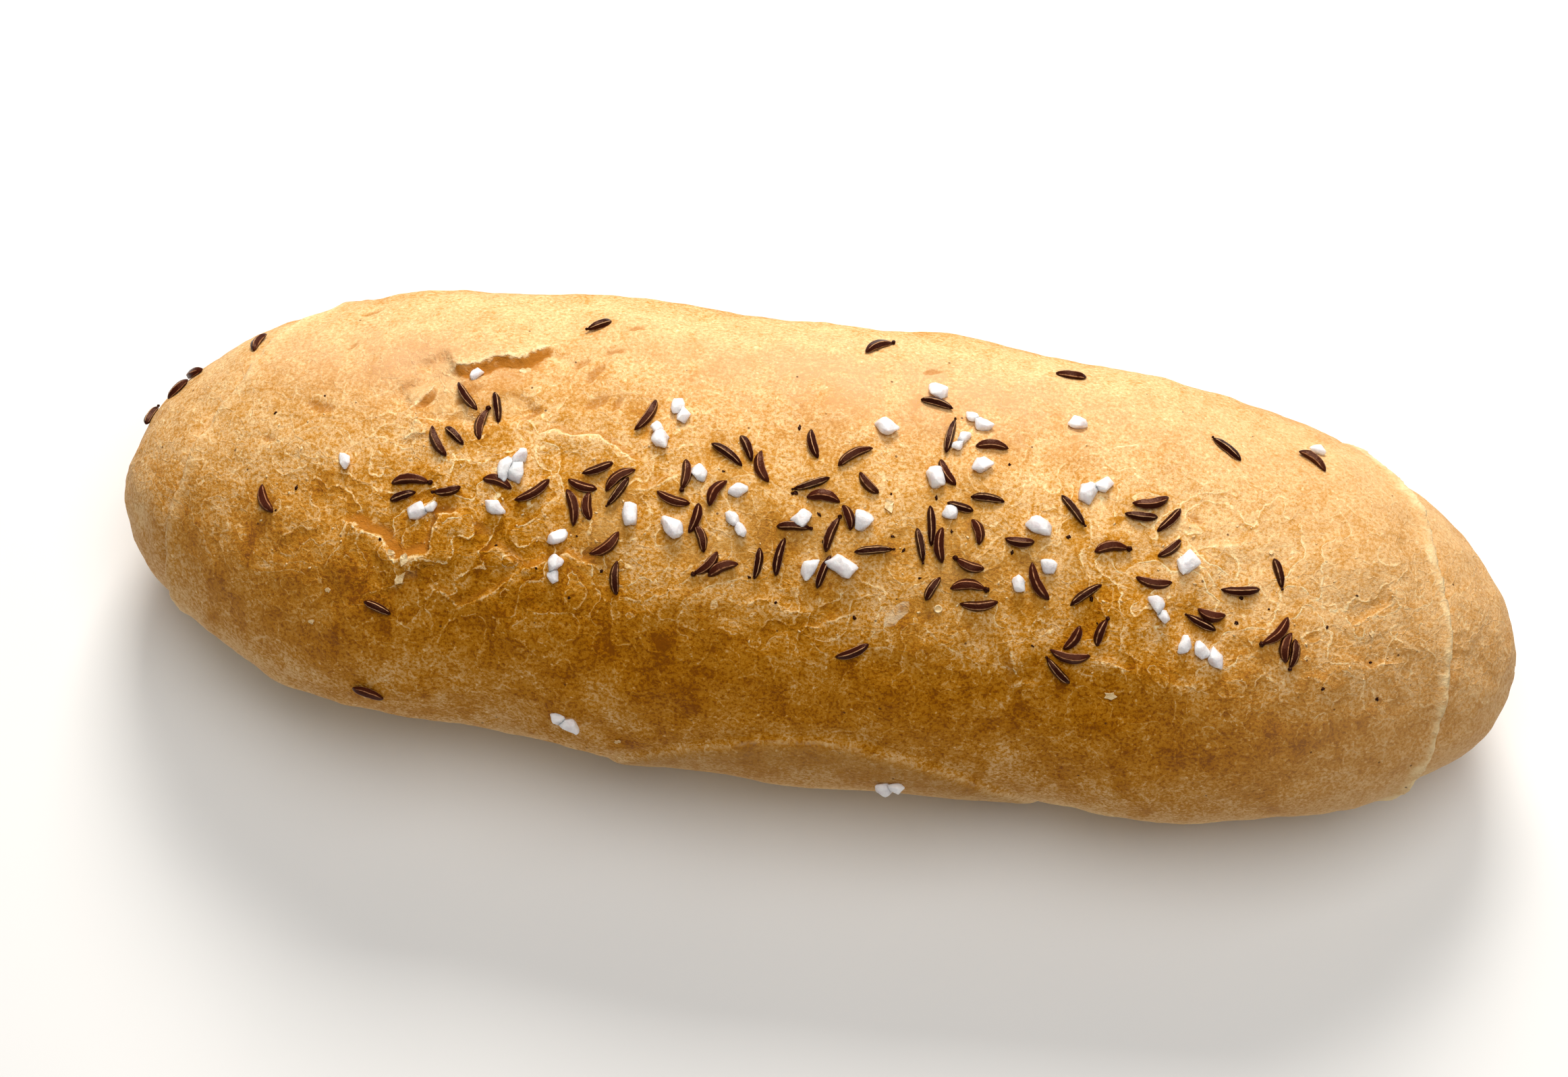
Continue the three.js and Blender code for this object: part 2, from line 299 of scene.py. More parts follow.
def plainRelief(point, calm):
    lift = relief["dent"] * rough(point, relief["dentSize"], 2, 6.0)
    lift += relief["wave"] * calm * rough(point, relief["waveSize"], 2, 7.0)
    lift += relief["blister"] * rough(point, relief["blisterSize"], 2, 10.0)
    return lift + relief["grain"] * rough(point, relief["grainSize"], 1, 13.0)


def crustAt(share, turn):
    # the finished point of the crust, and what its finish needs to know there
    swell = swellAt(share, turn)
    point = surfacePoint(share, turn, 0, swell)
    x, arc = point.x, turn * roll["meanRadius"]
    right = seamGap(winding["right"], point)
    left = seamGap(winding["left"], point)
    tongue = tongueGap(point)
    flake, depth, bare = flakeGap(x, arc, point)
    lift = winding["thickness"]
    lift += seamLift(winding["right"], right, point) + seamLift(winding["left"], left, point)
    inTongue = smooth(1.3, -1.1, tongue)
    lift += (winding["tongue"]["thickness"] - winding["thickness"]) * inTongue
    lift -= 0.15 * hump(tongue, 0.9, 0.8)
    tear, height = besideTorn(x, arc, point)
    if height > relief["highTorn"]:
        flake = max(flake, 2 * smooth(-0.2, 0.3, tear))
    lift -= depth * smooth(0.12, -0.35, flake)
    calm = 1 - 0.7 * inTongue
    flaky = flakyAt(x, turn) * calm
    layer = layerAt(point)
    slope = layerSlope(point, turn, layer)
    lift += flaky * layerLift(layer, slope) + plainRelief(point, calm) + tornLift(tear, height)
    scarAndShade = scarAt(x, arc, point)
    lift -= relief["scarAndShade"] * scarAndShade
    scarAndShade = max(scarAndShade, 0.9 * depth * hump(flake, -0.15, 0.5))  # browned walls round a flaked place: partly the brown edge of the skin, partly painted shade standing in for light glowing through the crust
    made = surfacePoint(share, turn, lift, swell)
    made.z = 0.5 * (made.z + math.sqrt(made.z ** 2 + relief["baseEdge"])) - 0.02
    seam = right if abs(right) < abs(left) else left
    tip = smooth(82, 93, abs(x))  # evens out what depends on the turn, which runs together at the tips
    bakeAndLight = bakeAndLightAt(x, turn) * (1 - tip) + 0.42 * tip
    return made, dict(layer=layer, slope=slope, flaky=flaky, seam=seam, tongue=tongue,
                      tear=max(-3.0, min(3.0, tear)), tearDepth=height, scarAndShade=scarAndShade,
                      bare=bare * smooth(-0.5, -1.6, flake), film=filmAt(x, arc, point), bakeAndLight=bakeAndLight,
                      blush=blushAt(x, turn), soakedAndShaded=soakedAndShadedAt(x, turn))


# where the skin is the more flaky, and where it is pinkish: x and its spread, turn and its spread, amount
flakySpots = [(-42, 24, 22, 26, 0.9), (56, 30, 12, 30, 0.7), (6, 24, 30, 14, 0.35)]
blushSpots = [(8, 40, -30, 17, 1.0), (-55, 14, -22, 14, 0.8), (-68, 12, -32, 10, 0.5)]
# browner and paler bands along the whole roll, partly the bake and partly painted light and shade: the back
# of the crest is painted paler for the light from behind and the front browner for its shade: turn, spread,
# amount
bakeAndLightBands = [(52, 27, 0.27), (18, 12, 0.05), (-45, 30, -0.03), (-48, 20, -0.12), (-95, 32, 0.18)]
# browner and paler places: x, turn, size, amount
bakedSpots = [
    (5, 54, 2.2, 0.16), (-20, 82, 2, 0.3), (-17, 76, 1.6, 0.22), (-8, 78, 1.2, 0.14), (-64, 14, 2.4, 0.22),
    (-24, 44, 6, 0.12), (-12, 52, 8, 0.1), (44, 46, 9, 0.08), (7, 31, 7, -0.08), (-9, 29, 5, -0.1),
    (48, 8, 16, -0.1), (-70, 18, 12, -0.05), (-34, 30, 7, 0.1), (38, 20, 3, 0.12), (-45, 26, 3, 0.12),
    (-22, 33, 6, -0.09), (26, 34, 6, -0.07), (16, 52, 5, 0.08), (80, 60, 12, -0.05), (-62, 34, 8, 0.1),
]
# where seeds and salt lie close together, and the crust is darker and greyer, partly soaked and partly
# painted shade: x, turn, size
soakedAndShadedSpots = [(17, 13, 8), (-12, 15, 7), (-26, 16, 5), (2, 12, 6), (30, 13, 4)]
film = dict(x=12, turn=29.5, size=1.25)  # a scrap of clear, dried film


def humpsAt(spots, x, degrees):
    return sum(amount * hump(x, spotX, spreadX) * hump(degrees, spotTurn, spreadTurn)
               for spotX, spreadX, spotTurn, spreadTurn, amount in spots)


def flakyAt(x, turn):
    # how strongly the skin has come up in thin layers
    degrees = math.degrees(turn)
    flaky = 0.4 + humpsAt(flakySpots, x, degrees)
    return flaky * (1 - 0.8 * smooth(-8, -40, degrees)) * (1 - 0.6 * smooth(45, 70, degrees))


def bakeAndLightAt(x, turn):
    # how brown the crust is, from 0 to 1: its bake, with painted light making the back paler and painted
    # shade making the front browner
    degrees = math.degrees(turn)
    bakeAndLight = 0.44 + sum(amount * hump(degrees, centre, spread) for centre, spread, amount in bakeAndLightBands)
    bakeAndLight -= 0.22 * smooth(88, 112, degrees) * smooth(160, 120, degrees)
    bakeAndLight -= 0.12 * smooth(-118, -132, degrees) * smooth(-165, -140, degrees)
    bakeAndLight -= 0.16 * smooth(56, 92, abs(x)) * smooth(20, 60, degrees)
    bakeAndLight -= 0.06 * smooth(45, 70, x) * hump(degrees, 18, 30)
    for spotX, spotTurn, size, amount in bakedSpots:
        away = math.hypot(x - spotX, math.radians(degrees - spotTurn) * roll["meanRadius"])
        bakeAndLight += amount * math.exp(-(away / size) ** 2)
    return bakeAndLight


def blushAt(x, turn):
    # the back of the crest has baked to a pinkish tan
    return min(1.0, humpsAt(blushSpots, x, math.degrees(turn)))


def filmAt(x, arc, point):
    # one on the film, nothing beside it
    along = (x - film["x"]) / film["size"]
    around = (arc - math.radians(film["turn"]) * roll["meanRadius"]) / film["size"]
    away = math.hypot(1.35 * (along + 0.5 * around), 0.85 * around)
    return smooth(1.15, 0.85, away + 0.5 * rough(point, 2.6, 1, 17.0)) if away < 2 else 0.0


def stainAndShadeAt(x, arc, seedTree):
    # the crust around a seed is browner: partly a stain, partly painted shade round the seed
    away = seedTree.find((x, arc, 0))[2]
    return smooth(1.9, 0.5, away)


def soakedAndShadedAt(x, turn):
    # the crust is darker and greyer where seeds and salt lie close together: partly soaked, partly painted
    # shade among them
    soakedAndShaded = 0.0
    for spotX, spotTurn, size in soakedAndShadedSpots:
        away = math.hypot(x - spotX, (turn - math.radians(spotTurn)) * roll["meanRadius"])
        soakedAndShaded = max(soakedAndShaded, math.exp(-(away / size) ** 2))
    return soakedAndShaded


crust = dict(around=256, along=380, denserOnTop=0.78, quickShare=0.55)


def evenShares(count):
    # shares of the length at which rings lie evenly far apart along the outline
    fine = 4000
    places, reach = [], []
    for i in range(fine + 1):
        share = -math.cos(math.pi * i / fine)
        places.append(share)
        reach.append(Vector((share * roll["length"] / 2,
                             roll["width"] / 2 * taper(share, roll["planPower"]))))
    run = [0.0]
    for i in range(fine):
        run.append(run[-1] + (reach[i + 1] - reach[i]).length)
    shares, at = [], 0
    for ring in range(count + 1):
        want = run[-1] * ring / count
        while at < fine - 1 and run[at + 1] < want:
            at += 1
        part = (want - run[at]) / (run[at + 1] - run[at])
        shares.append(places[at] * (1 - part) + places[at + 1] * part)
    return shares


def addAttribute(mesh, name, values):
    attribute = mesh.attributes.new(name, "FLOAT", "POINT")
    attribute.data.foreach_set("value", values)


def finishMesh(bm, name, material):
    # scales a finished bmesh to metres and puts it in the scene
    bmesh.ops.recalc_face_normals(bm, faces=bm.faces)
    bmesh.ops.scale(bm, vec=(mm, mm, mm), verts=bm.verts)
    mesh = bpy.data.meshes.new(name)
    bm.to_mesh(mesh)
    bm.free()
    mesh.polygons.foreach_set("use_smooth", [True] * len(mesh.polygons))
    mesh.materials.append(material)
    piece = bpy.data.objects.new(name, mesh)
    bpy.context.scene.collection.objects.link(piece)
    return piece


def makeCrust(grains, material):
    share = 1.0
    around, along = int(crust["around"] * share), int(crust["along"] * share)
    shares = evenShares(along)
    seedTree = KDTree(3 * len(grains))
    for i, (placeX, placeArc) in enumerate(place for grain in grains for place in grain["points"]):
        seedTree.insert((placeX, placeArc, 0), i)
    seedTree.balance()
    bm = bmesh.new()
    bmesh.ops.create_uvsphere(bm, u_segments=around, v_segments=along, radius=1)
    bmesh.ops.rotate(bm, matrix=Matrix.Rotation(math.pi / 2, 3, "Y"), verts=bm.verts)
    k = crust["denserOnTop"]
    marks = {name: [] for name in ("layer", "slope", "flaky", "seam", "tongue", "bare", "tear", "tearDepth",
                                   "scarAndShade", "film", "bakeAndLight", "blush", "soakedAndShaded", "stainAndShade")}
    for v in bm.verts:
        ring = round(math.acos(max(-1.0, min(1.0, -v.co.x))) / math.pi * along)
        spread = math.atan2(-v.co.y, v.co.z) / math.pi
        turn = math.pi * (k * spread + (1 - k) * spread ** 3)
        v.co, found = crustAt(shares[ring], turn)
        found["stainAndShade"] = stainAndShadeAt(v.co.x, turn * roll["meanRadius"], seedTree)
        for name, values in marks.items():
            values.append(found[name])
    piece = finishMesh(bm, "crust", material)
    for name, values in marks.items():
        addAttribute(piece.data, name, values)
    return piece


# The caraway and salt that are sprinkled on, by where they lie.
sprinkled = dict(
    clusters=[  # x, turn from the crest towards the front, caraway, salt, reach
        (-45, -13, 2, 1, 3.5), (-44, -4, 1, 0, 0.8), (-47.5, 3, 2, 0, 2), (-61, 8, 0, 1, 0),
        (-50, 14, 3, 1, 3.2), (-39, 5, 0, 2, 1.5), (-39, 12, 2, 1, 3.4), (-27, 11, 6, 1, 4.8),
        (-31, 24, 0, 2, 2.4), (-24, 26, 2, 0, 2.6), (-21, -10, 1, 2, 2.6), (-14, 10, 5, 4, 4.6),
        (-12, 23, 2, 0, 1.6), (-5.5, 21, 2, 0, 2), (-9.5, 0, 3, 0, 3.4), (1, -3, 3, 0, 3.8),
        (2.6, 10, 6, 4, 6.2), (2, 22, 1, 0, 0), (7, 40.5, 1, 0, 0), (12.5, -27, 1, 1, 2),
        (7, -15, 0, 1, 0), (18, -15, 2, 3, 3.6), (18, 0, 4, 2, 4.8), (17, 15, 6, 0, 4.4),
        (28, 11, 2, 3, 3.9), (22, 24.5, 1, 0, 0), (32.5, -4, 1, 1, 2), (31.5, -27, 0, 1, 0),
        (43, -4, 3, 0, 2.2), (37.5, 6, 1, 0, 0), (46.5, 4, 1, 1, 1.8), (43.5, 15, 1, 1, 2),
        (36, 24, 3, 0, 3.2), (34, 36, 2, 0, 2), (57, 8, 2, 0, 3.4), (51, 24, 2, 2, 3.2),
        (60.5, 24, 3, 0, 2.6),
    ],
    strays=[
        (-90, -52, 3, 0, 4), (-78, -45, 1, 0, 0), (-71, 21, 1, 0, 0), (-54, 46, 1, 0, 0),
        (-55, 76, 1, 0, 0), (-28, 76, 0, 1, 0), (-32, -40, 1, 0, 0), (4.5, -45, 1, 0, 0),
        (30, -47, 1, 0, 0), (51, -30, 1, 0, 0), (62, -41, 1, 1, 2), (13, 88, 0, 1, 0),
    ],
    start=4711, tries=12,
)
caraway = dict(shortest=3.4, longest=5.4, width=1.2, thickness=1.15, bend=0.12, sunk=0.24,
               around=30, along=18, ribs=5, ribHeight=0.2, knobShare=0.3, knob=0.24)
salt = dict(smallest=2.1, largest=3.4, flatness=0.74, sunk=0.26,
            corners=11, worn=0.045,  # corners of a grain, and how far its edges are worn
            twinShare=0.3, start=31)


def sprinkle():
    draw = drawsFrom(sprinkled["start"])
    placed, grains = [], []
    for x, turn, caraways, salts, reach in sprinkled["clusters"] + sprinkled["strays"]:
        for i in range(salts + caraways):
            kind = "salt" if i < salts else "caraway"
            if kind == "salt":
                size = draw(salt["smallest"], salt["largest"])
                halfLength = 0.3 * size
            else:
                size = draw(caraway["shortest"], caraway["longest"])
                halfLength = size / 2
            best = None
            for _ in range(sprinkled["tries"]):
                angle = draw(0, 2 * math.pi)
                away = reach * math.sqrt(draw())
                heading = draw(0, 2 * math.pi)
                gx = x + away * math.cos(angle)
                arc = math.radians(turn) * roll["meanRadius"] + away * math.sin(angle)
                points = [(gx + part * halfLength * math.cos(heading),
                           arc - part * halfLength * math.sin(heading)) for part in (-0.8, 0, 0.8)]
                clear = min((math.hypot(p[0] - q[0], p[1] - q[1]) for p in points for q in placed),
                            default=math.inf)
                if best is None or clear > best["clear"]:
                    best = dict(clear=clear, points=points, x=gx, arc=arc, heading=heading)
            placed += best["points"]
            grains.append(dict(kind=kind, size=size, x=best["x"], turn=best["arc"] / roll["meanRadius"],
                               heading=best["heading"], vary=draw(), points=best["points"]))
    return grains


def standOn(tree, x, turn, heading, lift):
    # the matrix that stands a small thing on the crust, turned by heading
    step = 0.004
    share = x / (roll["length"] / 2)
    here = surfacePoint(share, turn, winding["thickness"])
    ahead = (surfacePoint(share + step, turn, winding["thickness"]) - here).normalized()
    front = surfacePoint(share, turn + step, winding["thickness"]) - here
    out = front.cross(ahead).normalized()
    back = out.cross(ahead)
    hit = tree.ray_cast(here + out * 6, -out)[0] or here
    basis = Matrix((ahead, back, out)).transposed().to_4x4()
    return Matrix.Translation(hit + out * lift) @ basis @ Matrix.Rotation(heading, 4, "Z")


def patternOf(create, **settings):
    # a small mesh that is copied many times
    bm = bmesh.new()
    create(bm, **settings)
    mesh = bpy.data.meshes.new("pattern")
    bm.to_mesh(mesh)
    bm.free()
    return mesh


def copyInto(bm, pattern):
    start = len(bm.verts)
    bm.from_mesh(pattern)
    bm.verts.ensure_lookup_table()
    return bm.verts[start:]


def addCaraway(bm, pattern, grain, place, layers):
    # a slim bent spindle with five fine ribs; some still have the dried knob at one end
    c = caraway
    half, vary, other = grain["size"] / 2, grain["vary"], (grain["vary"] * 7) % 1
    width = c["width"] * (0.85 + 0.3 * vary) / 2
    bend = c["bend"] * grain["size"] * (0.2 + vary)
    shift = Vector((31 * vary, 17 * vary, 0))
    ball = copyInto(bm, pattern)
    for v in ball:
        a = v.co.z
        side, up = v.co.y, v.co.x
        phi = math.atan2(up, side)
        ridge = abs(math.cos(c["ribs"] / 2 * (phi + 2 * other))) ** 7
        radius = max(0.0, 1 - abs(a) ** 2.9) ** 0.66 * (1 - 0.1 * a)
        radius *= 0.95 + c["ribHeight"] * ridge * (1 - a ** 4)
        radius *= 1 + 0.07 * noise.noise(Vector((a * 3, phi, 9 * vary)))
        flat = 1.0 if up > 0 else 0.75
        v[layers["rib"]] = ridge * smooth(1.0, 0.75, abs(a))
        v[layers["vary"]] = vary
        v.co = Vector((a * half,
                       math.cos(phi) * radius * width + bend * (0.5 - a * a),
                       math.sin(phi) * radius * c["thickness"] / 2 * flat + 0.05 * half * (1 - 2 * a * a)))
        v.co += 0.04 * noise.noise_vector(v.co * 1.5 + shift)
    bmesh.ops.transform(bm, matrix=place, verts=ball)
    if other < c["knobShare"]:
        tip = Matrix.Translation(Vector((half * 1.03, -0.5 * bend, 0)))
        knob = copyInto(bm, pattern)
        size = c["knob"] * (0.7 + vary)
        for v in knob:
            v[layers["vary"]] = 0.1
            v.co *= size * (1 + 0.3 * noise.noise(v.co * 1.5 + shift))
        bmesh.ops.transform(bm, matrix=place @ tip, verts=knob)


def makeCaraway(grains, tree, material):
    pattern = patternOf(bmesh.ops.create_uvsphere, u_segments=caraway["around"],
                        v_segments=caraway["along"], radius=1)
    bm = bmesh.new()
    layers = {name: bm.verts.layers.float.new(name) for name in ("rib", "vary")}
    lift = caraway["thickness"] * (0.5 - caraway["sunk"])
    for grain in grains:
        place = standOn(tree, grain["x"], grain["turn"], grain["heading"], lift)
        addCaraway(bm, pattern, grain, place, layers)
    return finishMesh(bm, "caraway", material)


def addSaltLump(bm, size, place, draw):
    # an uneven crystal: the hull of some corners, with worn edges
    grain = bmesh.new()
    for i in range(salt["corners"]):
        level = 1 - 2 * (i + 0.5) / salt["corners"]  # spread evenly by the golden angle, then moved about
        angle = 2.4 * i + draw(-0.5, 0.5)
        level = max(-0.95, min(0.95, level + draw(-0.12, 0.12)))
        out = math.sqrt(1 - level * level)
        reach = size / 2 * draw(0.7, 1.15)
        grain.verts.new((reach * out * math.cos(angle), reach * out * math.sin(angle),
                         reach * level * salt["flatness"]))
    bmesh.ops.convex_hull(grain, input=grain.verts)
    bmesh.ops.bevel(grain, geom=grain.edges[:], offset=salt["worn"] * size, affect="EDGES", segments=2,
                    profile=0.5, material=-1, clamp_overlap=True)
    bmesh.ops.triangulate(grain, faces=grain.faces)
    bmesh.ops.subdivide_edges(grain, edges=grain.edges[:], cuts=1, use_grid_fill=True)
    shift = Vector((draw(0, 50), 0, 0))
    for v in grain.verts:
        v.co += 0.045 * size * noise.noise_vector(v.co * 2.2 + shift)
    bmesh.ops.transform(grain, matrix=place, verts=grain.verts)
    mesh = bpy.data.meshes.new("grain")
    grain.to_mesh(mesh)
    grain.free()
    bm.from_mesh(mesh)


def makeSalt(grains, tree, material):
    draw = drawsFrom(salt["start"])
    bm = bmesh.new()
    for grain in grains:
        size, vary = grain["size"], grain["vary"]
        lift = size * salt["flatness"] * (0.5 - salt["sunk"])
        place = standOn(tree, grain["x"], grain["turn"], grain["heading"], lift)
        place = place @ Matrix.Diagonal((1.1 + 0.45 * ((5 * vary) % 1), 0.95, 1, 1))
        addSaltLump(bm, size, place, draw)
        if vary < salt["twinShare"]:
            away = Vector((0.5 * size, 0.2 * size * (vary * 6 - 1), 0))
            addSaltLump(bm, size * (0.65 + 0.8 * vary), place @ Matrix.Translation(away), draw)
    return finishMesh(bm, "salt", material)


# Loose bits: thin flakes of skin, dark bits of seed, and fine crumbs.
bits = dict(
    start=1234,
    flakes=[  # x, turn, size
        (-51, 32, 1.9), (-51.5, 37, 2.0), (-53, 31, 1.1), (40, 43, 1.6), (-63, 55, 1.0), (-40, -21, 1.4),
        (9, 4, 2.0), (-22, 82, 1.0), (58, -2, 0.8), (-61, 44, 0.8), (72, 15, 0.9),
    ],
    skinThickness=0.1,
    between=(-72, 76), turn=14, turnSpread=30,  # where the dark bits and the crumbs lie
    dark=dict(start=77, count=44, sizes=(0.2, 0.5), squash=0.6),
    dust=dict(start=501, count=190, sizes=(0.12, 0.3), squash=0.8),
)
driedDrop = dict(x=17, turn=27, radius=0.55, rim=0.2)


def makeSkinBits(tree, material):
    draw = drawsFrom(bits["start"])
    bm = bmesh.new()
    for x, turn, size in bits["flakes"]:
        disc = bmesh.ops.create_circle(bm, cap_ends=True, radius=size / 2, segments=11)["verts"]
        face = disc[0].link_faces[0]
        for v in disc:
            v.co *= draw(0.55, 1.3)
            v.co.y *= 0.75
            v.co.z = draw(-0.05, 0.1) * size
        top = bmesh.ops.poke(bm, faces=[face])
        whole = disc + top["verts"]
        skin = bmesh.ops.extrude_face_region(bm, geom=top["faces"])
        upper = [g for g in skin["geom"] if isinstance(g, bmesh.types.BMVert)]
        bmesh.ops.translate(bm, vec=(0, 0, bits["skinThickness"]), verts=upper)
        place = standOn(tree, x, math.radians(turn), draw(0, 6.28), 0.04)
        bmesh.ops.transform(bm, matrix=place, verts=whole + upper)
    piece = finishMesh(bm, "skinBits", material)
    piece.data.polygons.foreach_set("use_smooth", [False] * len(piece.data.polygons))
    return piece


def scatter(tree, kind, name, material):
    draw = drawsFrom(kind["start"])
    pattern = patternOf(bmesh.ops.create_icosphere, subdivisions=2, radius=0.5)
    bm = bmesh.new()
    for _ in range(kind["count"]):
        x = draw(*bits["between"])
        turn = math.radians(bits["turn"] + bits["turnSpread"] * (draw() + draw() - 1))
        size, seed, longer = draw(*kind["sizes"]), draw(0, 50), draw(1, 1.9)
        lump = copyInto(bm, pattern)
        for v in lump:
            v.co *= size * (1 + 0.9 * noise.noise(v.co * 3 + Vector((seed, 0, 0))))
            v.co.z *= kind["squash"]
            v.co.x *= longer
        place = standOn(tree, x, turn, draw(0, 6.28), size * 0.1)
        bmesh.ops.transform(bm, matrix=place, verts=lump)
    return finishMesh(bm, name, material)


def makeDriedDrop(tree, material):
    # a small ring that a drop of brine has left
    bm = bmesh.new()
    bmesh.ops.create_uvsphere(bm, u_segments=28, v_segments=16, radius=driedDrop["radius"])
    for v in bm.verts:
        out = math.hypot(v.co.x, v.co.y) / driedDrop["radius"]
        rim = driedDrop["rim"] * hump(out, 0.78, 0.2) if v.co.z > 0 else 0
        v.co.z = math.copysign(0.02, v.co.z) + rim
    place = standOn(tree, driedDrop["x"], math.radians(driedDrop["turn"]), 0, 0.03)
    bmesh.ops.transform(bm, matrix=place, verts=bm.verts)
    return finishMesh(bm, "driedDrop", material)


# Nodes of the finishes.
def addNode(tree, kind, sockets=None, **settings):
    made = tree.nodes.new(kind)
    for name, value in settings.items():
        setattr(made, name, value)
    for key, value in (sockets or {}).items():
        if isinstance(value, bpy.types.NodeSocket):
            tree.links.new(value, made.inputs[key])
        else:
            made.inputs[key].default_value = value
    return made


def placeOn(tree):
    return addNode(tree, "ShaderNodeTexCoord").outputs["Object"]


def newFinish(name, **fixed):
    material = bpy.data.materials.new(name)
    material.use_nodes = True
    tree = material.node_tree
    shader = tree.nodes["Principled BSDF"]
    for key, value in fixed.items():
        shader.inputs[key.replace("_", " ")].default_value = value
    return material, tree, shader


def noiseOf(tree, place, size, detail=2.0, roughness=0.5, twist=0.0, output="Fac"):
    # size is in millimetres; the value lies around a half
    return addNode(tree, "ShaderNodeTexNoise", {
        "Vector": place, "Scale": 1 / (size * mm), "Detail": detail,
        "Roughness": roughness, "Distortion": twist}).outputs[output]


def calc(tree, operation, a, b=0.0, c=0.0):
    return addNode(tree, "ShaderNodeMath", {0: a, 1: b, 2: c}, operation=operation).outputs[0]


def fade(tree, value, low, high, toLow=0.0, toHigh=1.0):
    return addNode(tree, "ShaderNodeMapRange", {
        "Value": value, "From Min": low, "From Max": high, "To Min": toLow, "To Max": toHigh},
        interpolation_type="SMOOTHSTEP").outputs["Result"]


def mixColour(tree, amount, a, b):
    return addNode(tree, "ShaderNodeMix", {0: amount, 6: a, 7: b},
                   data_type="RGBA", clamp_factor=True).outputs[2]


def centred(tree, cloud):
    return calc(tree, "SUBTRACT", cloud, 0.5)


def product(tree, *masks):
    made = masks[0]
    for mask in masks[1:]:
        made = calc(tree, "MULTIPLY", made, mask)
    return made


def moved(tree, value, mask, amount):
    # value moved by amount where the mask is one
    return calc(tree, "MULTIPLY_ADD", mask, amount, value)


def stretched(tree, place, factors):
    return addNode(tree, "ShaderNodeVectorMath", {0: place, 1: factors}, operation="MULTIPLY").outputs[0]


def warped(tree, place, amount, size):
    # moves a pattern's coordinates about by up to amount millimetres
    cloud = noiseOf(tree, place, size, output="Color")
    offset = addNode(tree, "ShaderNodeVectorMath", {0: cloud, 1: (0.5, 0.5, 0.5)},
                     operation="SUBTRACT").outputs[0]
    return addNode(tree, "ShaderNodeVectorMath", {0: offset, 1: (amount * mm,) * 3, 2: place},
                   operation="MULTIPLY_ADD").outputs[0]


def someCells(tree, place, size, reach, least):
    # round dots of reach in some cells of a grid of that size, the fewer the higher least is
    cells = addNode(tree, "ShaderNodeTexVoronoi", {"Vector": place, "Scale": 1 / (size * mm)})
    chosen = addNode(tree, "ShaderNodeSeparateColor", {"Color": cells.outputs["Color"]})
    return product(tree, fade(tree, cells.outputs["Distance"], *reach),
                   fade(tree, chosen.outputs[0], least, least + 0.04))


def addBump(tree, shader, height, distance, strength):
    # distance is in millimetres
    bump = addNode(tree, "ShaderNodeBump",
                   {"Height": height, "Distance": distance * mm, "Strength": strength})
    tree.links.new(bump.outputs["Normal"], shader.inputs["Normal"])


def rampOf(tree, value, stops):
    made = addNode(tree, "ShaderNodeValToRGB", {"Fac": value})
    elements = made.color_ramp.elements
    while len(elements) < len(stops):
        elements.new(0.5)
    for element, (position, colour) in zip(elements, stops):
        element.position = position
        element.color = (*colour, 1)
    return made.outputs["Color"]


def known(tree, name):
    return addNode(tree, "ShaderNodeAttribute", attribute_name=name).outputs["Fac"]


# the scar colour also paints the shadow in hollows below torn edges and the shade on walls round flaked
# places; the soaked colour is partly painted shade among the seeds
crustColours = dict(
    stops=[(0.0, (0.95, 0.76, 0.43)), (0.18, (0.88, 0.61, 0.29)), (0.34, (0.75, 0.45, 0.195)),
           (0.47, (0.63, 0.32, 0.08)), (0.6, (0.53, 0.215, 0.012)), (0.78, (0.42, 0.145, 0.002)),
           (1.0, (0.25, 0.07, 0.002))],
    cream=(0.95, 0.76, 0.44, 1), skin=(0.42, 0.23, 0.075, 1), skinDark=(0.36, 0.17, 0.04, 1),
    floor=(0.86, 0.64, 0.34, 1), scarAndShade=(0.40, 0.14, 0.013, 1), speck=(0.07, 0.022, 0.01, 1),
    blush=(0.70, 0.405, 0.215, 1), soakedAndShaded=(0.48, 0.29, 0.10, 1), film=(0.74, 0.60, 0.40, 1),
    cap=(0.62, 0.36, 0.16, 1),
)
crustPattern = dict(  # sizes in millimetres
    grain=0.45, coarse=1.3, mottle=5, patch=1.5, smudge=3.4, ragged=0.9,
    wrinkle=2.6, fleck=1.0, dot=2.4,
)
# Some of these are painted light: the rim is partly a painted highlight, the ledge, lip and behindLip are
# painted light, the foot is painted shade, the fleck is partly painted glints, and the marks round the
# seeds are partly painted shade.
crustBakeAndLight = dict(  # how much browner each of them makes the crust, or paler where it is less than nothing
    smudge=0.2, coarse=0.25, mottle=0.85, rim=-0.34, ledge=-0.09, foot=0.11, fleck=-0.24,
    lip=-0.3, behindLip=-0.12, ridge=-0.1, stainAndShade=0.09,
)


def crustClouds(tree):
    # the noises that the parts of the crust's finish share
    size = crustPattern
    place = placeOn(tree)
    drawn = stretched(tree, place, (0.6, 1.0, 1.0))  # the coarse grain runs along the roll
    smudged = stretched(tree, place, (1.0, 0.4, 0.4))  # brown smudges run down the front
    return dict(
        place=place,
        grain=noiseOf(tree, place, size["grain"], 2, 0.75),
        coarse=noiseOf(tree, drawn, size["coarse"], 3, 0.65),
        mottle=noiseOf(tree, place, size["mottle"], 4, 0.62, 0.4),
        patch=noiseOf(tree, place, size["patch"], 2, 0.6),
        smudge=fade(tree, noiseOf(tree, smudged, size["smudge"], 3, 0.6), 0.52, 0.7),
        ragged=product(tree, centred(tree, noiseOf(tree, place, size["ragged"], 3, 0.65)), 0.9),
    )


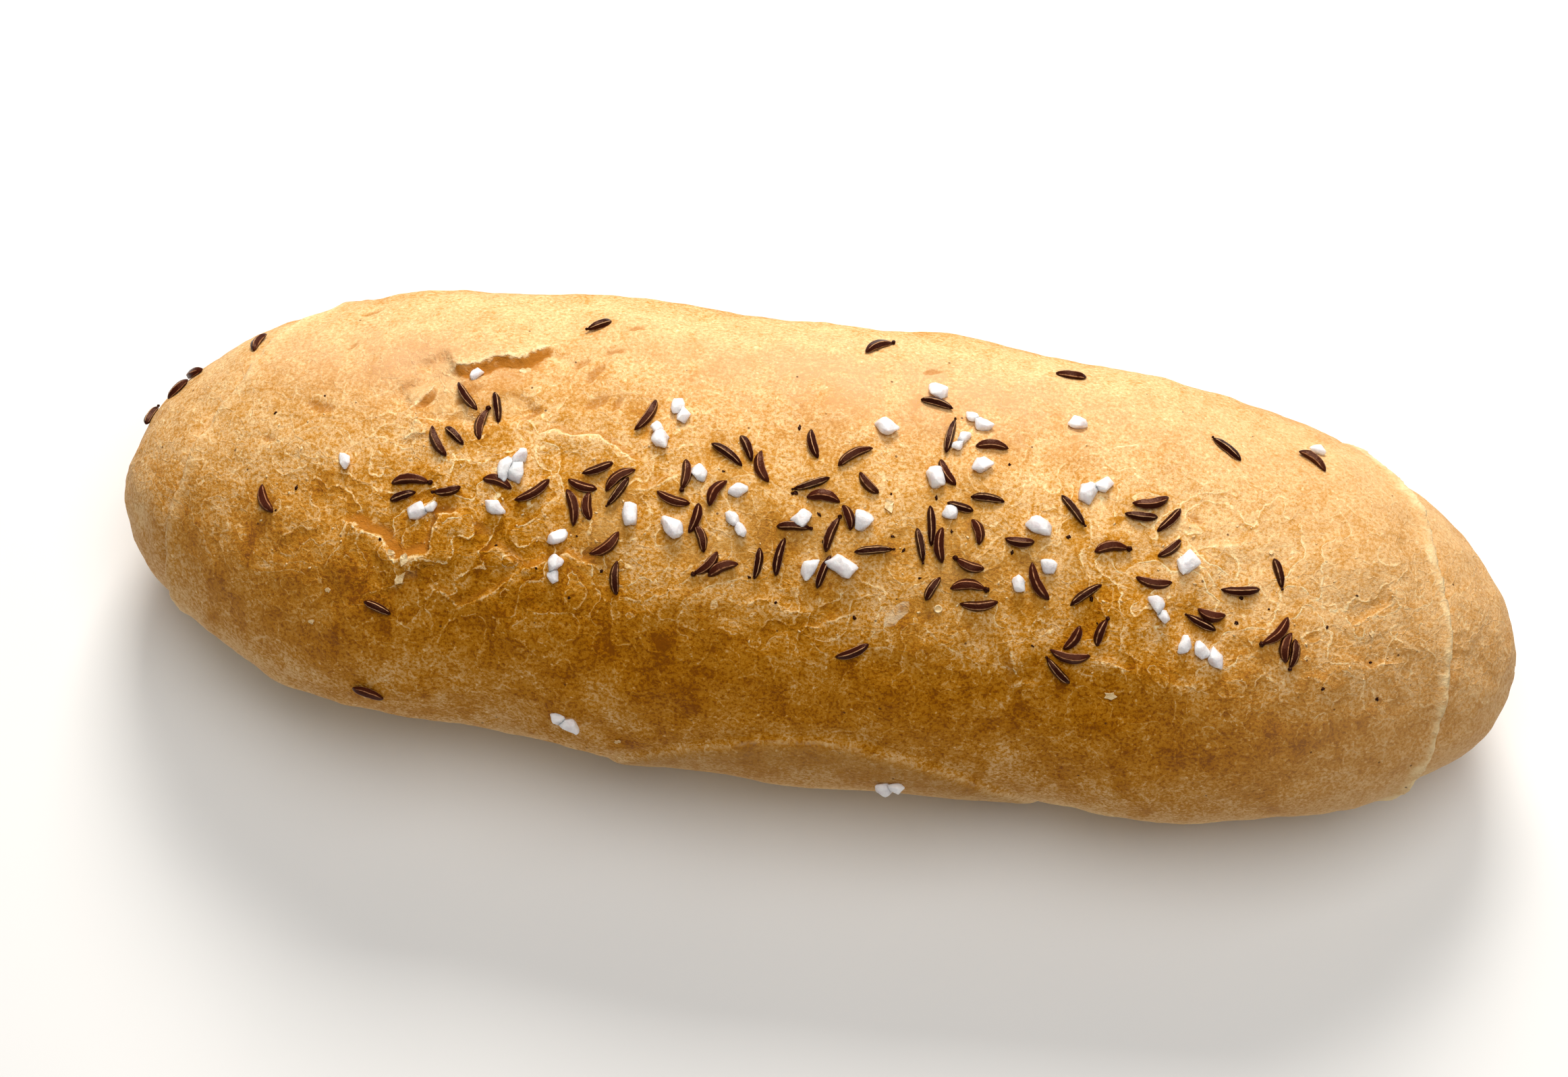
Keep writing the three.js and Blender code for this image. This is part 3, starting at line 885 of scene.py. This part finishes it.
def unevenBakeAndLight(tree, clouds):
    bakeAndLight = known(tree, "bakeAndLight")
    strong = fade(tree, bakeAndLight, 0.3, 0.62, 0.4, 1.0)  # the browner crust is the more uneven
    uneven = product(tree, clouds["smudge"], crustBakeAndLight["smudge"])
    for name in ("coarse", "mottle"):
        uneven = moved(tree, uneven, centred(tree, clouds[name]), crustBakeAndLight[name])
    fine = product(tree, centred(tree, clouds["grain"]), fade(tree, bakeAndLight, 0.3, 0.62, 0.9, 1.5))
    fine = calc(tree, "MAXIMUM", fine, fade(tree, bakeAndLight, 0.3, 0.62, -0.2, -0.1))
    return calc(tree, "ADD", moved(tree, bakeAndLight, uneven, strong), fine)


def layersOfSkin(tree, clouds, bakeAndLight):
    # a light rim where a thin layer ends, partly the pale edge of lifted skin and partly a painted
    # highlight, with painted light on the ledge behind it and painted shade at the browner foot below it
    slope, flaky = known(tree, "slope"), known(tree, "flaky")
    part = calc(tree, "FRACT", moved(tree, known(tree, "layer"), clouds["ragged"], slope))
    inside = calc(tree, "DIVIDE", part, slope)  # millimetres in from the edge of this layer
    below = calc(tree, "DIVIDE", calc(tree, "SUBTRACT", 1.0, part), slope)  # to the edge of the next one
    patchy = product(tree, fade(tree, clouds["mottle"], 0.36, 0.52), flaky)
    broken = product(tree, fade(tree, clouds["patch"], 0.40, 0.56), flaky)
    rim = product(tree, fade(tree, inside, 0.34, 0.06), broken)
    bakeAndLight = moved(tree, bakeAndLight, rim, crustBakeAndLight["rim"])
    # painted light on the raised ledge near its edge
    bakeAndLight = moved(tree, bakeAndLight, product(tree, fade(tree, inside, 2.4, 0.2), patchy), crustBakeAndLight["ledge"])
    # painted shade at the foot below the next layer
    bakeAndLight = moved(tree, bakeAndLight, product(tree, fade(tree, below, 1.1, 0.0), patchy), crustBakeAndLight["foot"])
    return bakeAndLight, rim


def wrinklesAndFlecks(tree, clouds, bakeAndLight):
    shifted = warped(tree, clouds["place"], 1.5, 1.6)
    scale = 1 / (crustPattern["wrinkle"] * mm)
    edge = addNode(tree, "ShaderNodeTexVoronoi", {"Vector": shifted, "Scale": scale},
                   feature="DISTANCE_TO_EDGE").outputs["Distance"]
    wrinkle = product(tree, fade(tree, edge, 0.07, 0.0), fade(tree, clouds["patch"], 0.58, 0.46))
    bakeAndLight = moved(tree, bakeAndLight, wrinkle, fade(tree, bakeAndLight, 0.25, 0.5, -0.06, -0.13))
    # light flecks, partly specks of the crust and partly painted glints
    fleck = someCells(tree, shifted, crustPattern["fleck"], (0.24, 0.12), 0.66)
    return moved(tree, bakeAndLight, fleck, crustBakeAndLight["fleck"]), wrinkle


def tornEdges(tree, clouds, bakeAndLight):
    # a painted highlight on the lip, painted light on the skin behind it, and a painted shadow in the
    # browner hollow below it
    depth = known(tree, "tearDepth")
    tear = moved(tree, known(tree, "tear"), clouds["ragged"], 0.8)
    hollow = product(tree, fade(tree, calc(tree, "DIVIDE", tear, depth), -1.3, -0.5),
                     fade(tree, tear, 0.42, 0.2), fade(tree, depth, 0.15, 0.8),
                     fade(tree, clouds["coarse"], 0.3, 0.5, 0.7, 0.97))
    lip = product(tree, fade(tree, tear, 0.25, 0.42), fade(tree, tear, 0.85, 0.5),
                  fade(tree, depth, 0.05, 0.35), fade(tree, clouds["patch"], 0.4, 0.56, 0.25, 1.0))
    behindLip = product(tree, fade(tree, tear, 0.3, 0.5), fade(tree, tear, 2.2, 0.4), depth)
    bakeAndLight = moved(tree, bakeAndLight, lip, crustBakeAndLight["lip"])
    return moved(tree, bakeAndLight, behindLip, crustBakeAndLight["behindLip"]), hollow, lip


def seamMarks(tree, clouds):
    # a light, soft ridge with a fine crack beside it
    seam = calc(tree, "ADD", known(tree, "seam"), clouds["ragged"])
    split = addNode(tree, "ShaderNodeSeparateXYZ", {0: clouds["place"]})
    clear = fade(tree, split.outputs["X"], -20 * mm, 20 * mm, 0.3, 1.0)  # the right seam is the clearer one
    wide = moved(tree, seam, centred(tree, clouds["mottle"]), 5.0)
    ridge = product(tree, fade(tree, wide, -2.2, -0.7), fade(tree, seam, 0.35, 0.0),
                    fade(tree, clouds["coarse"], 0.35, 0.55, 0.35, 1.0), fade(tree, seam, -4, -2))
    fromCrack = calc(tree, "ABSOLUTE", calc(tree, "SUBTRACT", seam, 0.25))
    crack = product(tree, fade(tree, fromCrack, 0.3, 0.05), fade(tree, clouds["patch"], 0.5, 0.6))
    cap = product(tree, fade(tree, seam, -45, 3, 0.0, 0.42), clear)
    return dict(ridge=ridge, crack=crack, clear=clear, cap=cap)


def crustTones(tree, clouds, seam, hollow):
    # what lies over the ramp's colour of bake and painted light, from the lowest to the uppermost: where,
    # and its colour
    grain, coarse, mottle, patch = (clouds[name] for name in ("grain", "coarse", "mottle", "patch"))
    tones = crustColours
    tongue = known(tree, "tongue")
    inTongue = product(tree, fade(tree, tongue, 0.4, -0.8), fade(tree, tongue, -15, -1, 0.0, 0.45))
    tongueTone = mixColour(tree, fade(tree, coarse, 0.4, 0.6), tones["skin"], tones["skinDark"])
    tongueLine = fade(tree, calc(tree, "ABSOLUTE", calc(tree, "ADD", tongue, clouds["ragged"])), 0.35, 0.05)
    dots = someCells(tree, clouds["place"], crustPattern["dot"], (0.09, 0.05), 0.72)
    return [
        (product(tree, known(tree, "blush"), fade(tree, mottle, 0.32, 0.6, 0.3, 0.85),
                 fade(tree, grain, 0.36, 0.6, 0.45, 1.0)), tones["blush"]),
        (seam["cap"], tones["cap"]),
        (product(tree, seam["ridge"], seam["clear"], 0.6), tones["cream"]),
        (product(tree, seam["crack"], 0.6), tones["scarAndShade"]),
        # partly soaked, partly painted shade among the seeds and salt
        (product(tree, known(tree, "soakedAndShaded"), fade(tree, mottle, 0.35, 0.6, 0.1, 0.5)), tones["soakedAndShaded"]),
        (product(tree, known(tree, "bare"), fade(tree, coarse, 0.38, 0.56, 0.1, 0.75)), tones["floor"]),
        # painted shadow in the hollow below a torn edge
        (hollow, tones["scarAndShade"]),
        (fade(tree, known(tree, "scarAndShade"), 0.25, 0.95, 0.0, 0.6), tones["scarAndShade"]),
        (product(tree, fade(tree, known(tree, "film"), 0.3, 0.6), fade(tree, patch, 0.35, 0.6, 0.15, 0.6)),
         tones["film"]),
        (inTongue, tongueTone),
        (product(tree, tongueLine, fade(tree, patch, 0.4, 0.6, 0.0, 0.22)), tones["cream"]),
        (product(tree, dots, 0.8), tones["speck"]),
    ]


def crustFinish():
    material, tree, shader = newFinish("bakedCrust", Subsurface_Weight=0.05, Subsurface_Scale=0.001,
                                       Specular_IOR_Level=0.09, Specular_Tint=(1.0, 0.66, 0.25, 1))
    shader.inputs["Subsurface Radius"].default_value = (1.0, 0.5, 0.22)
    clouds = crustClouds(tree)
    bakeAndLight, rim = layersOfSkin(tree, clouds, unevenBakeAndLight(tree, clouds))
    bakeAndLight, wrinkle = wrinklesAndFlecks(tree, clouds, bakeAndLight)
    bakeAndLight, hollow, lip = tornEdges(tree, clouds, bakeAndLight)
    seam = seamMarks(tree, clouds)
    bakeAndLight = moved(tree, bakeAndLight, seam["ridge"], crustBakeAndLight["ridge"])
    # browner round the seeds: partly a stain, partly painted shade
    bakeAndLight = moved(tree, bakeAndLight, known(tree, "stainAndShade"), crustBakeAndLight["stainAndShade"])
    colour = rampOf(tree, bakeAndLight, crustColours["stops"])
    for amount, tone in crustTones(tree, clouds, seam, hollow):
        colour = mixColour(tree, amount, colour, tone)
    tree.links.new(colour, shader.inputs["Base Color"])
    tree.links.new(fade(tree, clouds["mottle"], 0.3, 0.7, 0.62, 0.5), shader.inputs["Roughness"])
    height = product(tree, clouds["grain"], 0.16)
    for value, amount in ((clouds["coarse"], 0.2), (rim, 0.1), (wrinkle, 0.05), (lip, 0.12)):
        height = moved(tree, height, value, amount)
    addBump(tree, shader, height, 1.0, 0.8)
    return material


carawayColours = dict(
    furrow=(0.022, 0.004, 0.0025, 1), furrowPale=(0.055, 0.011, 0.005, 1),
    rib=(0.62, 0.36, 0.18, 1), ribDark=(0.45, 0.19, 0.085, 1),
)
saltColours = dict(clear=(0.93, 0.90, 0.90, 1), dull=(0.80, 0.75, 0.77, 1))
skinColours = dict(pale=(0.88, 0.68, 0.38, 1), brown=(0.70, 0.44, 0.18, 1))


def carawayFinish():
    material, tree, shader = newFinish("caraway", Roughness=0.3, Specular_IOR_Level=0.16,
                                       Specular_Tint=(1.0, 0.5, 0.3, 1))
    place = placeOn(tree)
    rib = moved(tree, known(tree, "rib"), centred(tree, noiseOf(tree, place, 0.5, 2)), 0.5)
    tones, vary = carawayColours, known(tree, "vary")
    furrow = mixColour(tree, vary, tones["furrow"], tones["furrowPale"])
    raised = mixColour(tree, vary, tones["rib"], tones["ribDark"])
    colour = mixColour(tree, fade(tree, rib, 0.6, 0.95), furrow, raised)
    tree.links.new(colour, shader.inputs["Base Color"])
    addBump(tree, shader, noiseOf(tree, place, 0.25, 2), 0.1, 0.5)
    return material


def saltFinish():
    material, tree, shader = newFinish("coarseSalt", Roughness=0.42, Specular_IOR_Level=0.5,
                                       Subsurface_Weight=0.85, Subsurface_Scale=0.0014)
    shader.inputs["Subsurface Radius"].default_value = (1.0, 0.9, 0.85)
    place = placeOn(tree)
    cloud = noiseOf(tree, place, 1.1, 3, 0.6)
    colour = mixColour(tree, fade(tree, cloud, 0.35, 0.65), saltColours["clear"], saltColours["dull"])
    tree.links.new(colour, shader.inputs["Base Color"])
    height = moved(tree, noiseOf(tree, place, 0.5, 3, 0.6), cloud, 0.8)
    addBump(tree, shader, height, 0.15, 0.7)
    return material


def skinFinish():
    material, tree, shader = newFinish("looseSkin", Roughness=0.6)
    place = placeOn(tree)
    cloud = noiseOf(tree, place, 0.7, 3, 0.6)
    colour = mixColour(tree, fade(tree, cloud, 0.35, 0.65), skinColours["pale"], skinColours["brown"])
    tree.links.new(colour, shader.inputs["Base Color"])
    addBump(tree, shader, cloud, 0.2, 0.8)
    return material


# Where the photograph was taken from: the roll lies a little right of and below the middle.
view = dict(azimuth=8.4, elevation=70, distance=446, lens=76, middle=22, right=4.6, down=1.4)
lights = [  # name, place, size, power, colour
    ("windowBehind", (-50, 620, 520), (320, 260), 6.4, (1.0, 0.96, 0.90)),
    ("softAbove", (100, 50, 900), (700, 700), 5.0, (1.0, 0.99, 0.97)),
]
room = dict(colour=(1.0, 0.96, 0.89, 1), strength=0.16)
floorColours = dict(dark=(0.86, 0.86, 0.86, 1), light=(0.90, 0.90, 0.895, 1))


def makeCamera():
    a, e = math.radians(view["azimuth"]), math.radians(view["elevation"])
    away = Vector((math.sin(a) * math.cos(e), -math.cos(a) * math.cos(e), math.sin(e)))
    right = Vector((math.cos(a), math.sin(a), 0))
    up = away.cross(right)
    target = Vector((0, 0, view["middle"])) - right * view["right"] + up * view["down"]
    data = bpy.data.cameras.new("photoView")
    data.lens = view["lens"]
    data.clip_start = 0.01
    camera = bpy.data.objects.new("photoView", data)
    bpy.context.scene.collection.objects.link(camera)
    camera.location = (target + away * view["distance"]) * mm
    camera.rotation_euler = (-away).to_track_quat("-Z", "Y").to_euler()
    bpy.context.scene.camera = camera


def makeLight(name, place, size, power, colour):
    data = bpy.data.lights.new(name, "AREA")
    data.shape = "RECTANGLE"
    data.size, data.size_y = size[0] * mm, size[1] * mm
    data.energy = power
    data.color = colour
    lamp = bpy.data.objects.new(name, data)
    bpy.context.scene.collection.objects.link(lamp)
    lamp.location = Vector(place) * mm
    lamp.rotation_euler = (Vector((0, 0, 20)) - Vector(place)).to_track_quat("-Z", "Y").to_euler()


def makeStudio():
    for light in lights:
        makeLight(*light)
    world = bpy.data.worlds.new("softRoom")
    world.use_nodes = True
    background = world.node_tree.nodes["Background"]
    background.inputs["Color"].default_value = room["colour"]
    background.inputs["Strength"].default_value = room["strength"]
    bpy.context.scene.world = world
    bpy.context.scene.view_settings.view_transform = "Standard"
    bm = bmesh.new()
    bmesh.ops.create_grid(bm, x_segments=2, y_segments=2, size=1500)
    material, tree, shader = newFinish("paleFloor", Roughness=0.8)
    place = placeOn(tree)
    colour = mixColour(tree, noiseOf(tree, place, 60, 2), floorColours["dark"], floorColours["light"])
    tree.links.new(colour, shader.inputs["Base Color"])
    floor = finishMesh(bm, "floor", material)


makeCamera()
makeStudio()
print("camera and studio ready")
grains = sprinkle()
seeds = [grain for grain in grains if grain["kind"] == "caraway"]
crystals = [grain for grain in grains if grain["kind"] == "salt"]
crustPiece = makeCrust(seeds, crustFinish())
print("crust ready,", len(crustPiece.data.polygons), "faces")
shell = bmesh.new()
shell.from_mesh(crustPiece.data)
bmesh.ops.scale(shell, vec=(1 / mm, 1 / mm, 1 / mm), verts=shell.verts)
skinTree = BVHTree.FromBMesh(shell)
shell.free()
seedPiece = makeCaraway(seeds, skinTree, carawayFinish())
saltPiece = makeSalt(crystals, skinTree, saltFinish())
print("caraway and salt ready,", len(grains), "grains")
skinPiece = makeSkinBits(skinTree, skinFinish())
darkPiece = scatter(skinTree, bits["dark"], "seedBits", seedPiece.data.materials[0])
dustPiece = scatter(skinTree, bits["dust"], "fineCrumbs", skinPiece.data.materials[0])
dropPiece = makeDriedDrop(skinTree, skinPiece.data.materials[0])
print("loose bits ready")

for piece, slot in ((crustPiece, "crust"), (seedPiece, "caraway"), (saltPiece, "salt"),
                    (skinPiece, "crust"), (darkPiece, "caraway"), (dustPiece, "crust"),
                    (dropPiece, "crust")):
    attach(piece, "root")
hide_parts("roll")
